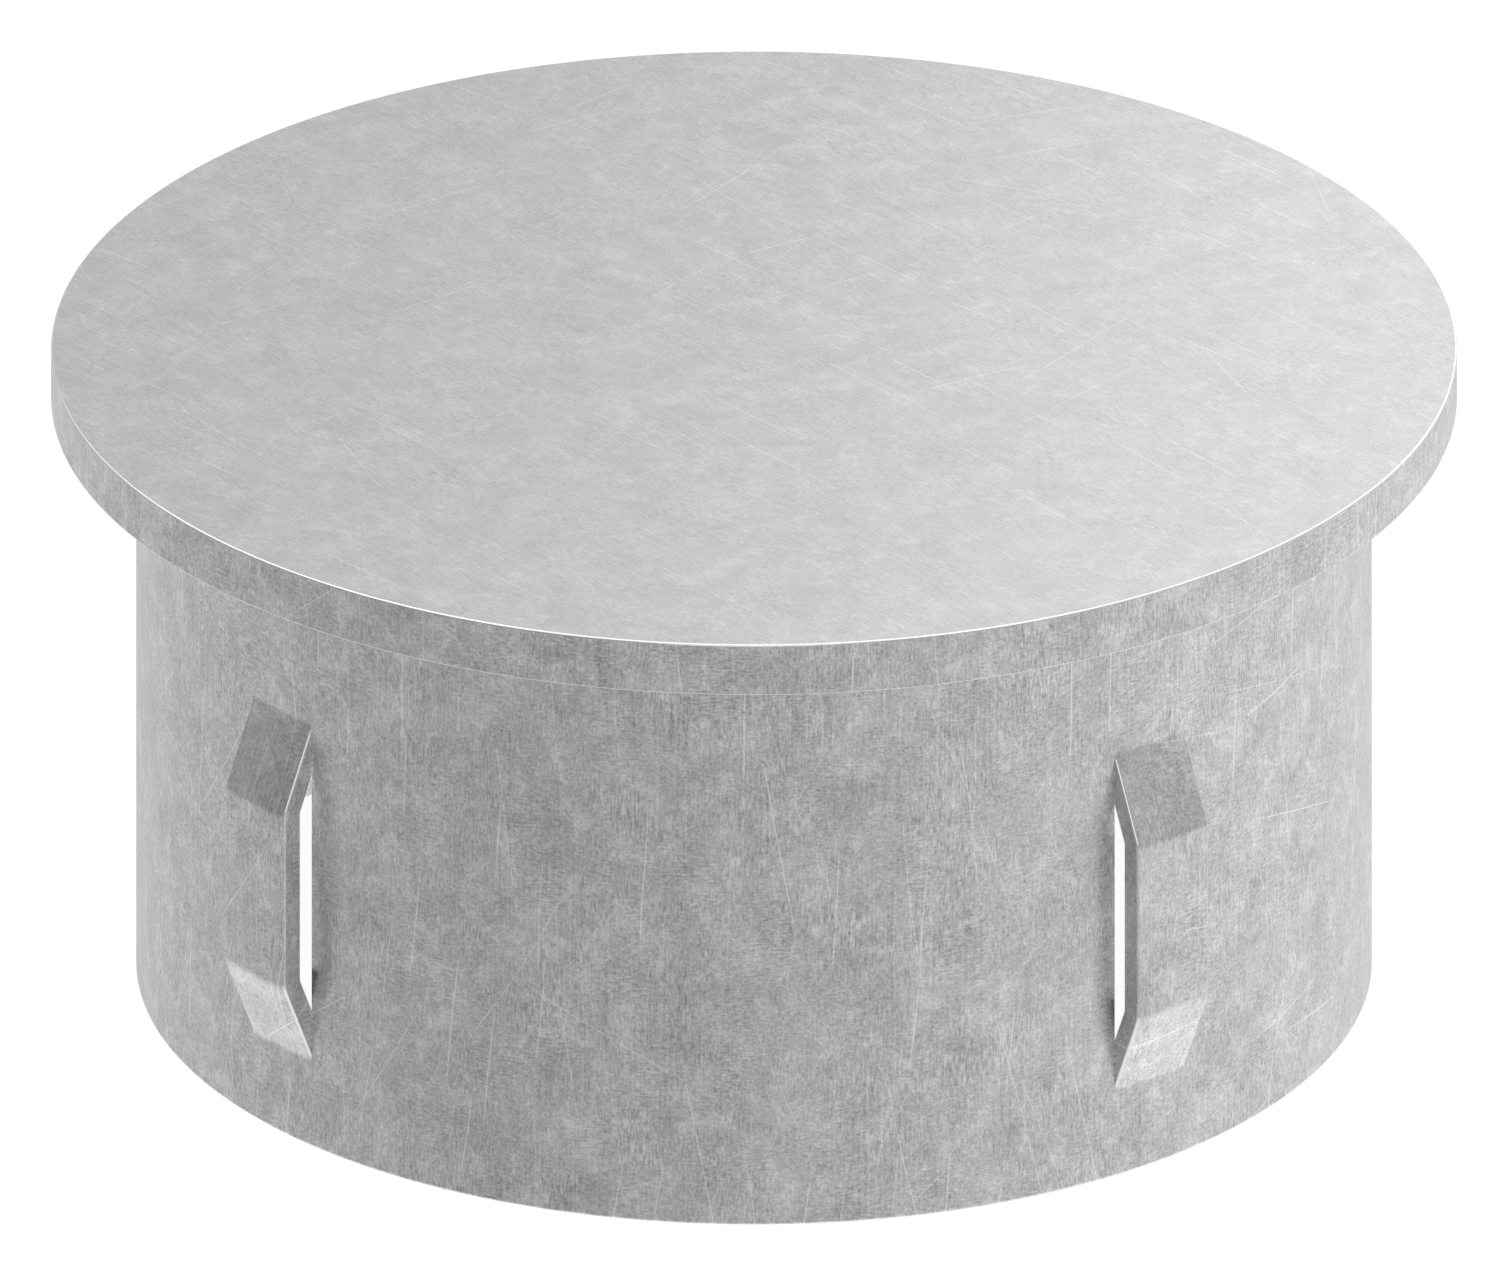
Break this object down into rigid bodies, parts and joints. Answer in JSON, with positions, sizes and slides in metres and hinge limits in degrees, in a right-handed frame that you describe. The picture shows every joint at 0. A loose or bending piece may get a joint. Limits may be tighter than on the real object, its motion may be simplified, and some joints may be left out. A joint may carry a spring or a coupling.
{
  "type": "steel tube end cap",
  "caption": "Round steel cap for the end of a tube: a flat disc flush with the tube's outside, above a thin plug ring whose lanced spring bridges grip the bore.",
  "frame": {"origin": "centre of the disc's underside, the plane on which the tube's end bears", "axes": "+Z along the cap's axis, out of the tube; +X through the first bridge, with the others on +Y, -X and -Y"},
  "size_m": [0.076, 0.076, 0.0368],
  "materials": {
    "galvanised_steel": "matt zinc grey, faintly brushed, with light scratches",
    "weld_metal": "rippled weld metal under the same zinc"
  },
  "bodies": {
    "root": {"cover_disc": "galvanised_steel", "plug_ring": "galvanised_steel", "weld_beads": "weld_metal"}
  },
  "joints": []
}
